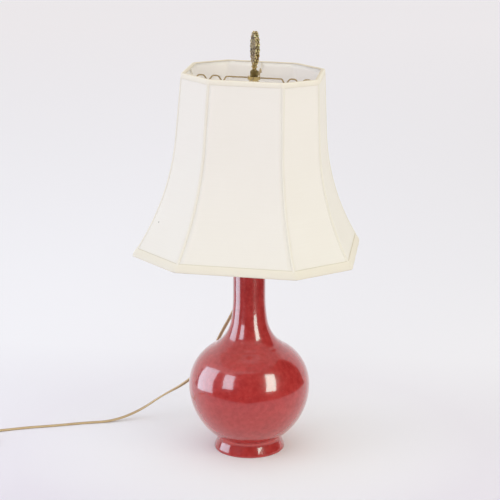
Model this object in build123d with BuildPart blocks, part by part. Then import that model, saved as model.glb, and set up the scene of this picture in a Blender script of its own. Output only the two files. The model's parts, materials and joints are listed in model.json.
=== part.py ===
"""Table lamp made from a red bottle vase, with a cut-corner bell shade.

Millimetres, +Z up, origin on the table under the middle of the vase's foot.
"""

import os
from math import atan, cos, degrees, hypot, pi, radians, sin, sqrt, tan

from build123d import *

os.makedirs("parts", exist_ok=True)

# Vase
vase_height = 330.0
vase_wall = 5.0
foot_radius = 52.0
foot_waist_radius = 48.6
foot_waist_height = 20.0
foot_recess = 8.0
foot_floor = 9.0
foot_rounding = 1.5
belly_radius = 92.6
belly_height = 102.0
shoulder_radius = 57.5
shoulder_height = 162.0
neck_base_radius = 27.6
neck_base_height = 205.0
neck_radius = 24.5
neck_start = 245.0
lip_radius = 26.5
lip_height = 12.0
lip_rounding = 2.0

# Stopper, cap and nipple that close the neck and carry the fittings
fit_clearance = 0.3
thread_clearance = 0.15
nipple_radius = 4.8
nipple_bore = 3.2
stopper_length = 24.0
stopper_taper = 2.0
stopper_flange = 3.0
nut_across_flats = 15.0
nut_thickness = 4.0
nipple_below_nut = 3.0
cap_wall = 1.0
cap_skirt = 7.0
cap_seat_radius = 17.0
cap_boss_radius = 9.0
cap_boss_rise = 9.0
cap_rounding = 1.5

# Harp and saddle
harp_lean = 1.73
saddle_thickness = 1.6
saddle_width = 14.0
saddle_bend = 3.0
prong_width = 3.4
prong_height = 12.0
harp_wire = 4.0
harp_foot = 28.0
harp_leg = 36.0
harp_half_width = 57.0
harp_shoulder = 70.0
harp_straight = 49.5
harp_plate_radius = 8.0
harp_plate = 2.4
ferrule_length = 18.0
ferrule_wall = 1.3
ferrule_collar = 3.0
ferrule_overlap = 8.0
stud_radius = 3.1
stud_length = 12.0
stud_collar_radius = 6.5
stud_collar = 2.5
rivet_radius = 1.4

# Socket, switch and bulb
socket_cap_radius = 17.5
socket_cap_height = 22.0
socket_cap_boss = 9.5
socket_cap_boss_height = 5.0
socket_shell_radius = 16.6
socket_overlap = 6.0
socket_wall = 0.8
liner_wall = 0.6
core_floor = 16.0
lead_radius = 1.1
lead_spacing = 3.0
lead_bend = 3.0
lead_run = 6.0
switch_height = 10.0
spindle_radius = 1.8
spindle_reach = 14.0
spindle_inset = 4.0
knob_radius = 5.5
knob_length = 14.0
knob_flutes = 10
knob_flute_radius = 0.9
bulb_base_radius = 13.1
bulb_base_length = 26.0
bulb_base_show = 1.5
bulb_ring_count = 5
bulb_ring_depth = 0.8
bulb_tip_radius = 4.5
bulb_tip = 2.5
bulb_neck_radius = 13.8
bulb_radius = 30.0
bulb_length = 84.0
bulb_wall = 1.0

# Shade
shade_drop = 7.6
shade_height = 268.0
shade_top_half = 99.5
shade_bottom_half = 161.4
shade_knee_half = 105.5
shade_knee = 94.0
corner_ratio = 0.538
panel_thickness = 0.8
panel_seam = 0.4
lining_thickness = 0.5
frame_wire = 2.6
rib_wire = 2.2
frame_clearance = 0.35
ring_corner = 4.0
top_band = 9.5
bottom_band = 12.0
band_thickness = 1.2
piping_width = 4.0
piping_thickness = 1.0
washer_radius = 9.5
washer_thickness = 4.8
arm_wire = 2.2
arm_flat = 41.0
ripple_pitch = 21.5
ripple_depth = 9.0
ripple_bend = 2.4
arch_half = 4.3
arch_rise = 0.5
arch_bend = 5.0
arm_slit = 3.4
arm_slit_depth = 16.0

# Finial
finial_turn = 17.0
finial_base_radius = 5.6
finial_base_height = 8.6
finial_socket_depth = 7.4
finial_neck_radius = 2.6
finial_bead_radius = 4.3
finial_neck = 10.0
medallion_radius = 25.5
medallion_thickness = 6.6
medallion_rim = 3.6
medallion_lobes = 18
medallion_lobe_radius = 3.2
medallion_boss = 4.6
medallion_boss_height = 8.6
scroll_count = 6
scroll_outer_radius = 13.6
scroll_wire = 2.6
scroll_loop = 4.3
leaf_radius = 17.2
leaf_hole = 2.2

# Cord, coil, tie and plug
cord_diameter = 5.2
bushing_length = 22.0
bushing_radius = 5.0
bushing_tip = 3.4
bushing_flange = 2.0
coil_radius = 40.0
coil_gap = 0.6
coil_half_turns = 5
coil_tail = 22.0
cord_bend_share = 0.45
tie_thickness = 1.0
tie_gap = 0.5
tie_width = 8.0
plug_width = 25.0
plug_length = 30.0
plug_neck = 9.0
plug_rounding = 4.0
blade_spacing = 12.7
blade_width = 6.3
blade_thickness = 1.5
blade_length = 17.0

# Heights of the fittings, stacked up from the vase's rim
neck_bore = neck_radius - vase_wall
cap_inner = vase_height + stopper_flange
cap_top = cap_inner + cap_boss_rise + cap_wall
saddle_seat = cap_top + fit_clearance
socket_base = saddle_seat + saddle_thickness + fit_clearance
prong_top = saddle_seat + prong_height
leg_top = prong_top + harp_leg
bow_height = leg_top + harp_shoulder
arch_height = bow_height + harp_straight
harp_top = arch_height + harp_half_width
plate_top = harp_top + harp_wire / 2 + harp_plate / 2
collar_top = plate_top + stud_collar
washer_low = collar_top + fit_clearance
washer_top = washer_low + washer_thickness
finial_low = washer_top + fit_clearance
shell_low = socket_base + socket_cap_height - socket_overlap
shell_bore = socket_shell_radius - socket_wall
liner_radius = shell_bore - fit_clearance
core_radius = liner_radius - liner_wall - fit_clearance
core_bore = bulb_base_radius + fit_clearance
core_low = shell_low + fit_clearance
bulb_seat = core_low + core_floor + bulb_tip + fit_clearance
base_top = bulb_seat + bulb_base_length
shell_top = base_top - bulb_base_show
socket_shell_height = shell_top - shell_low
outlet_z = (socket_base + socket_cap_boss_height + shell_low) / 2
switch_z = shell_low + switch_height
shade_top = washer_top + shade_drop
shade_bottom = shade_top - shade_height
knee_height = shade_top - shade_knee

# How far each part of the cut-corner plan stands out, against the long side's half width
corner_reach = (1 + corner_ratio) / sqrt(2)
rib_reach = hypot(1, corner_ratio)
long_sector = degrees(atan(corner_ratio))
corner_sector = 45 - long_sector
long_side, corner_side = (1.0, long_sector), (corner_reach, corner_sector)
sides = [(45 * k, *(corner_side if k % 2 else long_side)) for k in range(8)]
rib_angles = [90 * k + turn * long_sector for k in range(4) for turn in (-1, 1)]

leaning = Pos(0, 0, saddle_seat) * Rot(0, harp_lean, 0) * Pos(0, 0, -saddle_seat)


def keep(piece, label, place=Location()):
    """Name a finished piece and write it to a file of its own."""
    placed = place * piece
    placed.label = label
    export_step(placed, f"parts/{label}.step")


def upright_plane(angle):
    """A plane through the axis: its x points out at this angle, its y points up."""
    out = (cos(radians(angle)), sin(radians(angle)), 0)
    return Plane(origin=(0, 0, 0), x_dir=out, z_dir=(out[1], -out[0], 0))


# Vase: one thrown wall from the foot ring to the lip, and a floor across the foot
with BuildPart() as vase:
    with BuildSketch(Plane.XZ):
        with BuildLine():
            foot = (foot_radius, 0)
            waist = (foot_waist_radius, foot_waist_height)
            belly = (belly_radius, belly_height)
            shoulder = (shoulder_radius, shoulder_height)
            neck_base = (neck_base_radius, neck_base_height)
            neck = (neck_radius, neck_start)
            lip_start = (neck_radius, vase_height - lip_height)
            TangentArc(foot, waist, tangent=(0, -1), tangent_from_first=False)
            TangentArc(waist, belly, tangent=(0, -1), tangent_from_first=False)
            round_shoulder = TangentArc(belly, shoulder, tangent=(0, 1))
            hollow = TangentArc(shoulder, neck_base, tangent=round_shoulder % 1)
            TangentArc(neck_base, neck, tangent=hollow % 1)
            Line(neck, lip_start)
            TangentArc(lip_start, (lip_radius, vase_height), tangent=(0, 1))
            offset(amount=vase_wall, side=Side.RIGHT)
        make_face()
    revolve(axis=Axis.Z)
    split(bisect_by=Plane.XY.offset(vase_height), keep=Keep.BOTTOM)
    split(bisect_by=Plane.XY, keep=Keep.TOP)
    with BuildSketch(Plane.XY.offset(foot_recess)):
        Circle(foot_waist_radius - vase_wall / 2)
    extrude(amount=foot_floor)
    fillet(vase.edges().group_by(Axis.Z)[0], radius=foot_rounding)
    fillet(vase.edges().group_by(Axis.Z)[-1], radius=lip_rounding)
keep(vase.part, "vase")

# Rubber stopper wedged in the neck
stopper_low = vase_height - stopper_length
stopper_radius = neck_bore - fit_clearance
with BuildPart() as stopper:
    with BuildSketch(Plane.XZ):
        Polygon(
            (nipple_radius + thread_clearance, stopper_low),
            (stopper_radius - stopper_taper, stopper_low),
            (stopper_radius, vase_height),
            (neck_radius, vase_height),
            (neck_radius, cap_inner),
            (nipple_radius + thread_clearance, cap_inner),
            align=None,
        )
    revolve(axis=Axis.Z)
keep(stopper.part, "neck_stopper")

# Spun brass cap over the rim
with BuildPart() as cap:
    with BuildSketch(Plane.XZ):
        skirt = lip_radius + fit_clearance
        with BuildLine():
            FilletPolyline(
                (skirt, vase_height - cap_skirt),
                (skirt, cap_inner),
                (cap_seat_radius, cap_inner),
                (cap_boss_radius, cap_top - cap_wall),
                (nipple_radius + thread_clearance, cap_top - cap_wall),
                radius=cap_rounding,
            )
            offset(amount=cap_wall, side=Side.RIGHT)
        make_face()
    revolve(axis=Axis.Z)
keep(cap.part, "vase_cap")

# Threaded nipple, which ties the stopper, cap, saddle and socket together
nipple_low = stopper_low - nut_thickness - nipple_below_nut
nipple_top = socket_base + socket_cap_boss_height
with BuildPart() as nipple:
    with BuildSketch(Plane.XY.offset(nipple_low)):
        Circle(nipple_radius)
        Circle(nipple_bore, mode=Mode.SUBTRACT)
    extrude(amount=nipple_top - nipple_low)
keep(nipple.part, "nipple")

with BuildPart() as nut:
    with BuildSketch(Plane.XY.offset(stopper_low - nut_thickness)):
        RegularPolygon(radius=nut_across_flats / 2, side_count=6, major_radius=False)
        Circle(nipple_radius + thread_clearance, mode=Mode.SUBTRACT)
    extrude(amount=nut_thickness)
keep(nut.part, "lock_nut")

# Saddle: a bent strip that narrows to two prongs
with BuildPart() as saddle:
    with BuildSketch(Plane.XZ):
        with BuildLine():
            out = harp_foot + saddle_thickness / 2
            FilletPolyline(
                (-out, prong_top),
                (-out, saddle_seat),
                (out, saddle_seat),
                (out, prong_top),
                radius=saddle_bend,
            )
            offset(amount=saddle_thickness, side=Side.LEFT)
        make_face()
    extrude(amount=saddle_width / 2, both=True)
    with BuildSketch(Plane.XY.offset(saddle_seat)):
        Circle(saddle_width / 2)
        Rectangle(2 * out, prong_width)
        Circle(nipple_radius + fit_clearance, mode=Mode.SUBTRACT)
    extrude(amount=prong_height, mode=Mode.INTERSECT)
keep(saddle.part, "harp_saddle", leaning)

# Harp: one bent wire, with a flat plate at its top for the stud
with BuildPart() as harp:
    with BuildLine(Plane.XZ) as harp_path:
        rise = harp_shoulder / 2
        step = (harp_half_width - harp_foot) / 2
        for hand in (-1, 1):
            leg_start = (hand * harp_foot, prong_top)
            leg_end = (hand * harp_foot, leg_top)
            turn = (hand * (harp_foot + step), leg_top + rise)
            bow = (hand * harp_half_width, bow_height)
            Line(leg_start, leg_end)
            TangentArc(leg_end, turn, tangent=(0, 1))
            TangentArc(bow, turn, tangent=(0, -1))
            Line(bow, (hand * harp_half_width, arch_height))
        ThreePointArc((-harp_half_width, arch_height), (0, harp_top), (harp_half_width, arch_height))
    with BuildSketch(Plane.XY.offset(prong_top)):
        with Locations((-harp_foot, 0)):
            Circle(harp_wire / 2)
    sweep(path=harp_path.wire())
    with BuildSketch(Plane.XY.offset(plate_top - harp_plate)):
        Circle(harp_plate_radius)
    extrude(amount=harp_plate)
    with BuildSketch(Plane.XY.offset(harp_top - harp_wire)):
        Circle(rivet_radius + thread_clearance)
    extrude(amount=2 * harp_wire, mode=Mode.SUBTRACT)
keep(harp.part, "harp", leaning)

# Stud riveted through the harp's plate
with BuildPart() as stud:
    with BuildSketch(Plane.XY.offset(plate_top - harp_plate)):
        Circle(rivet_radius)
    extrude(amount=harp_plate)
    with BuildSketch(Plane.XY.offset(plate_top)):
        Circle(stud_collar_radius)
    extrude(amount=stud_collar)
    with BuildSketch(Plane.XY.offset(collar_top)):
        Circle(stud_radius)
    extrude(amount=stud_length)
keep(stud.part, "harp_stud", leaning)

# Ferrules that lock the harp's feet on the prongs
ferrule_low = prong_top - ferrule_overlap
ferrule_bore = harp_wire / 2 + fit_clearance
for hand, side in ((-1, "left"), (1, "right")):
    with BuildPart() as ferrule:
        with BuildSketch(Plane.XY.offset(ferrule_low)):
            with Locations((hand * harp_foot, 0)):
                Circle(ferrule_bore + ferrule_wall)
        extrude(amount=ferrule_length)
        with BuildSketch(Plane.XY.offset(ferrule_low)):
            with Locations((hand * harp_foot, 0)):
                Circle(ferrule_bore + 2 * ferrule_wall)
        extrude(amount=ferrule_collar)
        with BuildSketch(Plane.XY.offset(ferrule_low)):
            with Locations((hand * harp_foot, 0)):
                Circle(ferrule_bore)
        extrude(amount=ferrule_length, mode=Mode.SUBTRACT)
        fillet(ferrule.edges().group_by(Axis.Z)[-1], radius=ferrule_wall / 3)
    keep(ferrule.part, f"harp_ferrule_{side}", leaning)

# Socket cap: a cup with a boss for the nipple and a side outlet for the cord
cup_bore = socket_cap_radius - socket_wall
with BuildPart() as socket_cap:
    with BuildSketch(Plane.XZ):
        with BuildLine():
            FilletPolyline(
                (socket_cap_boss, socket_base),
                (socket_cap_boss, socket_base + socket_cap_boss_height / 2),
                (socket_cap_radius, socket_base + socket_cap_boss_height),
                (socket_cap_radius, socket_base + socket_cap_height),
                radius=cap_rounding,
            )
            Polyline(
                (socket_cap_radius, socket_base + socket_cap_height),
                (cup_bore, socket_base + socket_cap_height),
                (cup_bore, nipple_top),
                (nipple_radius + thread_clearance, nipple_top),
                (nipple_radius + thread_clearance, socket_base),
                (socket_cap_boss, socket_base),
            )
        make_face()
    revolve(axis=Axis.Z)
    with BuildSketch(Plane.XZ):
        with Locations((0, outlet_z)):
            Circle(bushing_radius + thread_clearance)
    extrude(amount=-2 * socket_cap_radius, mode=Mode.SUBTRACT)
keep(socket_cap.part, "socket_cap")

# Brass shell with a rolled mouth and a slot for the switch spindle
with BuildPart() as shell:
    with BuildSketch(Plane.XY.offset(shell_low)):
        Circle(socket_shell_radius)
        Circle(shell_bore, mode=Mode.SUBTRACT)
    extrude(amount=socket_shell_height)
    with BuildSketch(Plane.XZ):
        with Locations((socket_shell_radius, shell_top)):
            Circle(socket_wall)
    revolve(axis=Axis.Z)
    with BuildSketch(Plane.XZ):
        with Locations((0, switch_z)):
            Circle(spindle_radius + fit_clearance)
    extrude(amount=2 * socket_shell_radius, mode=Mode.SUBTRACT)
keep(shell.part, "socket_shell")

with BuildPart() as liner:
    with BuildSketch(Plane.XY.offset(core_low)):
        Circle(liner_radius)
        Circle(liner_radius - liner_wall, mode=Mode.SUBTRACT)
    extrude(amount=socket_shell_height - 2 * fit_clearance)
    with BuildSketch(Plane.XZ):
        with Locations((0, switch_z)):
            Circle(spindle_radius + fit_clearance)
    extrude(amount=2 * socket_shell_radius, mode=Mode.SUBTRACT)
keep(liner.part, "socket_liner")

# Core: the insulating floor with the switch in it, and the screw shell for the bulb
with BuildPart() as core:
    with BuildSketch(Plane.XY.offset(core_low)):
        Circle(core_radius)
    extrude(amount=socket_shell_height - 2 * fit_clearance)
    with BuildSketch(Plane.XY.offset(core_low + core_floor)):
        Circle(core_bore)
    extrude(amount=socket_shell_height, mode=Mode.SUBTRACT)
    with BuildSketch(Plane.XZ):
        with Locations((0, switch_z)):
            Circle(spindle_radius + fit_clearance)
    extrude(amount=core_radius + fit_clearance, mode=Mode.SUBTRACT)
keep(core.part, "socket_core")

# Two leads from the bushing's inner end up to the core's floor
lead_start = cup_bore - bushing_flange
lead_turn = lead_start - lead_run
with BuildPart() as leads:
    for hand in (-1, 1):
        out = hand * lead_spacing / 2
        with BuildLine() as lead_path:
            FilletPolyline(
                (out, lead_start, outlet_z),
                (out, lead_turn, outlet_z),
                (out, lead_turn, core_low),
                radius=lead_bend,
            )
        line = lead_path.wire()
        with BuildSketch(Plane(origin=line @ 0, z_dir=line % 0)):
            Circle(lead_radius)
        sweep(path=line)
keep(leads.part, "socket_leads")

# Switch spindle and knob, pointing to the front
with BuildPart() as spindle:
    with BuildSketch(Plane.XZ.offset(spindle_inset)):
        with Locations((0, switch_z)):
            Circle(spindle_radius)
    extrude(amount=socket_shell_radius + spindle_reach - spindle_inset)
keep(spindle.part, "switch_spindle")

knob_start = socket_shell_radius + spindle_reach - knob_length / 2
with BuildPart() as knob:
    with BuildSketch(Plane.XZ.offset(knob_start)):
        with Locations((0, switch_z)):
            Circle(knob_radius)
            with PolarLocations(knob_radius, knob_flutes):
                Circle(knob_flute_radius, mode=Mode.SUBTRACT)
    extrude(amount=knob_length)
    with BuildSketch(Plane.XZ.offset(knob_start)):
        with Locations((0, switch_z)):
            Circle(spindle_radius + thread_clearance)
    extrude(amount=knob_length / 2 + thread_clearance, mode=Mode.SUBTRACT)
keep(knob.part, "switch_knob")

# Bulb: a screw base with rolled rings and a contact tip, and a hollow glass
with BuildPart() as bulb_base:
    with BuildSketch(Plane.XY.offset(bulb_seat)):
        Circle(bulb_base_radius)
    extrude(amount=bulb_base_length)
    ring_step = bulb_base_length / (bulb_ring_count + 1)
    with BuildSketch(Plane.XZ):
        for k in range(bulb_ring_count):
            with Locations((bulb_base_radius, bulb_seat + ring_step * (k + 1))):
                Circle(bulb_ring_depth)
    revolve(axis=Axis.Z, mode=Mode.SUBTRACT)
    with BuildSketch(Plane.XY.offset(bulb_seat)):
        Circle(bulb_tip_radius)
    extrude(amount=-bulb_tip)
keep(bulb_base.part, "bulb_base")

with BuildPart() as bulb_glass:
    with BuildSketch(Plane.XZ):
        with BuildLine():
            neck_end = base_top + bulb_neck_radius
            crown = base_top + bulb_length
            swell = crown - bulb_radius
            turn = ((bulb_neck_radius + bulb_radius) / 2, (neck_end + swell) / 2)
            Line((bulb_neck_radius, base_top), (bulb_neck_radius, neck_end))
            TangentArc((bulb_neck_radius, neck_end), turn, tangent=(0, 1))
            TangentArc(turn, (bulb_radius, swell), tangent=(0, -1), tangent_from_first=False)
            TangentArc((bulb_radius, swell), (0, crown), tangent=(0, 1))
            offset(amount=bulb_wall, side=Side.LEFT)
        make_face()
    revolve(axis=Axis.Z)
keep(bulb_glass.part, "bulb_glass")


# The shade's bell: a straight drop from the top, then a flare to the bottom
knee_slope = (shade_knee_half - shade_top_half) / shade_knee
flare_drop = knee_height - shade_bottom
flare_out = shade_bottom_half - shade_knee_half
flare_turn = atan(flare_out / flare_drop) - atan(knee_slope)
flare_radius = hypot(flare_out, flare_drop) / (2 * sin(flare_turn))
flare_centre_out = shade_knee_half + flare_radius * cos(atan(knee_slope))
flare_centre_up = knee_height + flare_radius * sin(atan(knee_slope))
flare_cosine = cos(atan(knee_slope) + 2 * flare_turn)
ring_inset = (panel_thickness + frame_clearance + frame_wire / 2) / flare_cosine
lining_gap = (panel_thickness + 2 * frame_clearance + frame_wire) / flare_cosine


def bell_half(height):
    """Half width of a long side at this height."""
    if height >= knee_height:
        return shade_top_half + knee_slope * (shade_top - height)
    return flare_centre_out - sqrt(flare_radius**2 - (flare_centre_up - height) ** 2)


def bell_line(reach, inset, high, low):
    """Draw the bell's outline between two heights, moved in by the inset."""
    knee = (reach * (shade_knee_half - inset), knee_height)
    start = (reach * (bell_half(high) - inset), high)
    end = (reach * (bell_half(low) - inset), low)
    Line(start, knee)
    TangentArc(knee, end, tangent=(knee[0] - start[0], knee[1] - start[1]))


def mitred(section, angle, sector, seam, width):
    """Push a side's section out both ways and cut it at the two ribs beside it."""
    with BuildPart() as piece:
        extrude(section, amount=width, both=True)
        for turn in (-1, 1):
            across = radians(angle + turn * sector)
            normal = (turn * sin(across), -turn * cos(across), 0)
            split(bisect_by=Plane(origin=(0, 0, 0), z_dir=normal).offset(seam / 2), keep=Keep.TOP)
    return piece.part


def bell_side(angle, reach, sector, inset, thickness, seam):
    """One whole side of the bell as a thin sheet."""
    with BuildSketch(upright_plane(angle)) as section:
        with BuildLine():
            bell_line(reach, inset, shade_top, shade_bottom)
            offset(amount=thickness, side=Side.RIGHT)
        make_face()
    return mitred(section.sketch, angle, sector, seam, shade_bottom_half)


def band_side(angle, reach, sector, high, low, inset, thickness):
    """One side of a band that follows the bell between two heights."""
    outer_high = reach * (bell_half(high) - inset)
    outer_low = reach * (bell_half(low) - inset)
    with BuildSketch(upright_plane(angle)) as section:
        Polygon(
            (outer_high, high),
            (outer_low, low),
            (outer_low - thickness, low),
            (outer_high - thickness, high),
            align=None,
        )
    return mitred(section.sketch, angle, sector, 0, shade_bottom_half)


def rib_tube(angle, inset, high, low, draw_section):
    """Sweep a small section down one rib of the bell."""
    with BuildPart() as piece:
        with BuildLine(upright_plane(angle)) as path:
            bell_line(rib_reach, inset, high, low)
        line = path.wire()
        across = (-sin(radians(angle)), cos(radians(angle)), 0)
        with BuildSketch(Plane(origin=line @ 0, x_dir=across, z_dir=line % 0)):
            draw_section()
        sweep(path=line)
    return piece.part


# Eight fabric panels, one to a side
side_names = ("right", "back_right", "back", "back_left", "left", "front_left", "front", "front_right")
for side, name in zip(sides, side_names):
    keep(bell_side(*side, 0, panel_thickness, panel_seam), f"shade_panel_{name}", leaning)

# Lining of eight sewn pieces inside the frame, slit at the top for the spider's arms
lining_sides = [bell_side(*side, lining_gap, lining_thickness, panel_seam) for side in sides]
with BuildPart() as lining:
    add(lining_sides)
    for across in (Plane.XZ, Plane.YZ):
        with BuildSketch(across):
            with Locations((0, shade_top)):
                Rectangle(arm_slit, 2 * arm_slit_depth)
        extrude(amount=shade_top_half, both=True, mode=Mode.SUBTRACT)
keep(lining.part, "shade_lining", leaning)

# Bands round the top and bottom edges, outside the panels
band_inset = -band_thickness - frame_clearance
for label, high, low in (
    ("shade_top_band", shade_top, shade_top - top_band),
    ("shade_bottom_band", shade_bottom + bottom_band, shade_bottom),
):
    band_sides = [band_side(*side, high, low, band_inset, band_thickness) for side in sides]
    with BuildPart() as band:
        add(band_sides)
    keep(band.part, label, leaning)


# Piping over the rib seams, from band to band
def piping_section():
    """Flat strip, its width across the seam."""
    Rectangle(piping_width, piping_thickness)


piping_inset = -piping_thickness / 2 - frame_clearance
piping_high = shade_top - top_band - frame_clearance
piping_low = shade_bottom + bottom_band + frame_clearance
with BuildPart() as piping:
    for angle in rib_angles:
        add(rib_tube(angle, piping_inset, piping_high, piping_low, piping_section))
keep(piping.part, "shade_piping", leaning)

# Wire frame: two rings and eight ribs between the cover and the lining
ring_heights = {"shade_top_ring": shade_top - frame_wire, "shade_bottom_ring": shade_bottom + frame_wire}
for label, height in ring_heights.items():
    corner_radius = rib_reach * (bell_half(height) - ring_inset)
    ring_points = [
        (corner_radius * cos(radians(angle)), corner_radius * sin(radians(angle)), height)
        for angle in rib_angles
    ]
    with BuildPart() as ring:
        with BuildLine() as ring_path:
            FilletPolyline(*ring_points, radius=ring_corner, close=True)
        loop = ring_path.wire()
        with BuildSketch(Plane(origin=loop @ 0, z_dir=loop % 0)):
            Circle(frame_wire / 2)
        sweep(path=loop)
    keep(ring.part, label, leaning)


def rib_section():
    """Round rib wire."""
    Circle(rib_wire / 2)


rib_high = shade_top - 1.5 * frame_wire - frame_clearance
rib_low = shade_bottom + 1.5 * frame_wire + frame_clearance
with BuildPart() as ribs:
    for angle in rib_angles:
        add(rib_tube(angle, ring_inset, rib_high, rib_low, rib_section))
keep(ribs.part, "shade_ribs", leaning)

# Spider: a washer over the stud and four rippled arms out to the top ring
with BuildPart() as washer:
    with BuildSketch(Plane.XY.offset(washer_low)):
        Circle(washer_radius)
        Circle(stud_radius + fit_clearance, mode=Mode.SUBTRACT)
    extrude(amount=washer_thickness)
keep(washer.part, "spider_washer", leaning)

arm_height = washer_low + washer_thickness / 2
ring_height = ring_heights["shade_top_ring"]
arm_end = bell_half(ring_height) - ring_inset - frame_wire / 2 - arm_wire / 2 - frame_clearance
ripple = ripple_pitch / 4
arm_low = arm_height - ripple_depth
arch_top = arm_height + arch_rise
arm_outline = [
    (washer_radius + frame_clearance, arm_height),
    (arm_flat, arm_height),
    (arm_flat + ripple, arm_low),
    (arm_flat + 3 * ripple - arch_half, arch_top),
    (arm_flat + 3 * ripple + arch_half, arch_top),
    (arm_flat + 5 * ripple, arm_low),
    (arm_flat + 7 * ripple - arch_half, arch_top),
    (arm_flat + 7 * ripple + arch_half, arch_top),
    (arm_end - ripple, arm_low),
    (arm_end, ring_height),
]
arm_bends = [ripple_bend, *3 * (ripple_bend, arch_bend, arch_bend)][:len(arm_outline) - 2]
arm_parts = []
for angle in range(0, 360, 90):
    with BuildPart() as arm:
        with BuildLine(upright_plane(angle)) as arm_path:
            FilletPolyline(*arm_outline, radius=arm_bends)
        line = arm_path.wire()
        with BuildSketch(Plane(origin=line @ 0, z_dir=line % 0)):
            Circle(arm_wire / 2)
        sweep(path=line)
    arm_parts.append(arm.part)
with BuildPart() as arms:
    add(arm_parts)
keep(arms.part, "spider_arms", leaning)

# Finial: a threaded base, a beaded neck and a pierced medallion
with BuildPart() as finial_base:
    with BuildSketch(Plane.XY.offset(finial_low)):
        Circle(finial_base_radius)
    extrude(amount=finial_base_height)
    chamfer(finial_base.edges().group_by(Axis.Z)[-1], length=finial_base_radius / 4)
    with BuildSketch(Plane.XY.offset(finial_low)):
        Circle(stud_radius + thread_clearance)
    extrude(amount=finial_socket_depth, mode=Mode.SUBTRACT)
keep(finial_base.part, "finial_base", leaning)

neck_low = finial_low + finial_base_height
medallion_height = neck_low + finial_neck + medallion_radius - medallion_rim
face = upright_plane(90 + finial_turn)
with BuildPart() as ornament:
    with BuildSketch(Plane.XY.offset(neck_low)):
        Circle(finial_neck_radius)
    extrude(amount=finial_neck)
    with BuildSketch(Plane.XZ):
        with Locations((finial_neck_radius, neck_low + finial_neck / 2)):
            Circle(finial_bead_radius - finial_neck_radius)
    revolve(axis=Axis.Z)
    with BuildSketch(face):
        with Locations((0, medallion_height)):
            Circle(medallion_radius - medallion_lobe_radius / 2)
            Circle(medallion_radius - medallion_rim - medallion_lobe_radius / 2, mode=Mode.SUBTRACT)
            with PolarLocations(medallion_radius - medallion_lobe_radius, medallion_lobes):
                Circle(medallion_lobe_radius)
            with PolarLocations(leaf_radius, scroll_count, start_angle=180 / scroll_count):
                Circle(leaf_hole + scroll_wire / 2)
                Circle(leaf_hole, mode=Mode.SUBTRACT)
            with PolarLocations(scroll_outer_radius, scroll_count):
                Circle(scroll_loop + scroll_wire / 2)
                Circle(scroll_loop - scroll_wire / 2, mode=Mode.SUBTRACT)
            with PolarLocations(scroll_outer_radius / 2, scroll_count):
                Rectangle(scroll_outer_radius / 2, scroll_wire / 2)
    extrude(amount=medallion_thickness / 2, both=True)
    with BuildSketch(face):
        with Locations((0, medallion_height)):
            Circle(medallion_boss)
    extrude(amount=medallion_boss_height / 2, both=True)
keep(ornament.part, "finial_ornament", leaning)

# Tapered bushing in the socket cap's side outlet
with BuildPart() as bushing:
    with BuildSketch(Plane.XZ.offset(-cup_bore + bushing_flange)):
        with Locations((0, outlet_z)):
            Circle(bushing_radius)
    with BuildSketch(Plane.XZ.offset(-cup_bore - bushing_length)):
        with Locations((0, outlet_z)):
            Circle(bushing_tip)
    loft()
keep(bushing.part, "cord_bushing")

# Cord: the free stretch, from the bushing down behind the neck and along the table
cord_start = (0, cup_bore + bushing_length, outlet_z)
coil_base = tie_thickness + tie_gap + cord_diameter / 2
cord_on_table = cord_diameter / 2
cord_route = [
    cord_start,
    (0, 57.0, outlet_z),
    (-1.5, 73.5, 345.0),
    (-3.0, 82.5, 326.0),
    (-6.0, 85.0, 298.0),
    (-11.0, 82.0, 264.0),
    (-19.0, 81.5, 227.0),
    (-37.5, 85.5, 187.0),
    (-60.0, 92.5, 145.0),
    (-81.0, 99.0, 95.0),
    (-117.0, 103.0, 60.0),
    (-155.0, 102.5, 38.0),
    (-194.0, 96.0, 10.5),
    (-232.0, 70.5, cord_on_table),
    (-275.0, 58.5, cord_on_table),
    (-317.0, 41.0, cord_on_table),
    (-360.0, 27.0, cord_on_table),
    (-398.0, 9.5, cord_on_table),
    (-419.0, -1.0, coil_base),
    (-437.0, -1.0, coil_base),
]


def corner_radii(route):
    """The largest arc that each corner's two runs allow."""
    points = [Vector(*p) for p in route]
    radii = []
    for before, corner, after in zip(points, points[1:], points[2:]):
        into, away = corner - before, after - corner
        half_turn = radians(into.get_angle(away)) / 2
        radii.append(cord_bend_share * min(into.length, away.length) / tan(half_turn))
    return radii


cord_radii = corner_radii(cord_route)
print("cord radii:", [round(r) for r in cord_radii])
with BuildPart() as cord:
    with BuildLine() as cord_path:
        FilletPolyline(*cord_route, radius=cord_radii)
    cord_line = cord_path.wire()
    with BuildSketch(Plane(origin=cord_line @ 0, z_dir=cord_line % 0)):
        Circle(cord_diameter / 2)
    sweep(path=cord_line)
print("cord length:", round(cord_line.length), "volume ratio:",
      round(cord.part.volume / (cord_line.length * pi * cord_diameter**2 / 4), 4))
keep(cord.part, "cord")

# Coil: half turns that spiral in on the table, climb one layer and spiral out again
coil_pitch = cord_diameter + coil_gap
coil_radii = [coil_radius - k * coil_pitch / 2 for k in range(coil_half_turns)]
climb_radius = coil_radius - coil_half_turns * coil_pitch / 2
coil_start = Vector(*cord_route[-1])
up = Vector(0, 0, 1)


def half_turn(start, heading, radius, climb=0.0):
    """Two quarter arcs to the left of the heading, which may climb on the way."""
    left = up.cross(heading)
    middle = start + left * radius + up * (climb / 2) + heading * hypot(radius, climb / 2)
    end = start + left * (2 * radius) + up * climb
    crossing = (left * radius + up * (climb / 2)).normalized()
    TangentArc(start, middle, tangent=heading)
    TangentArc(middle, end, tangent=crossing)
    return end, -heading


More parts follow.
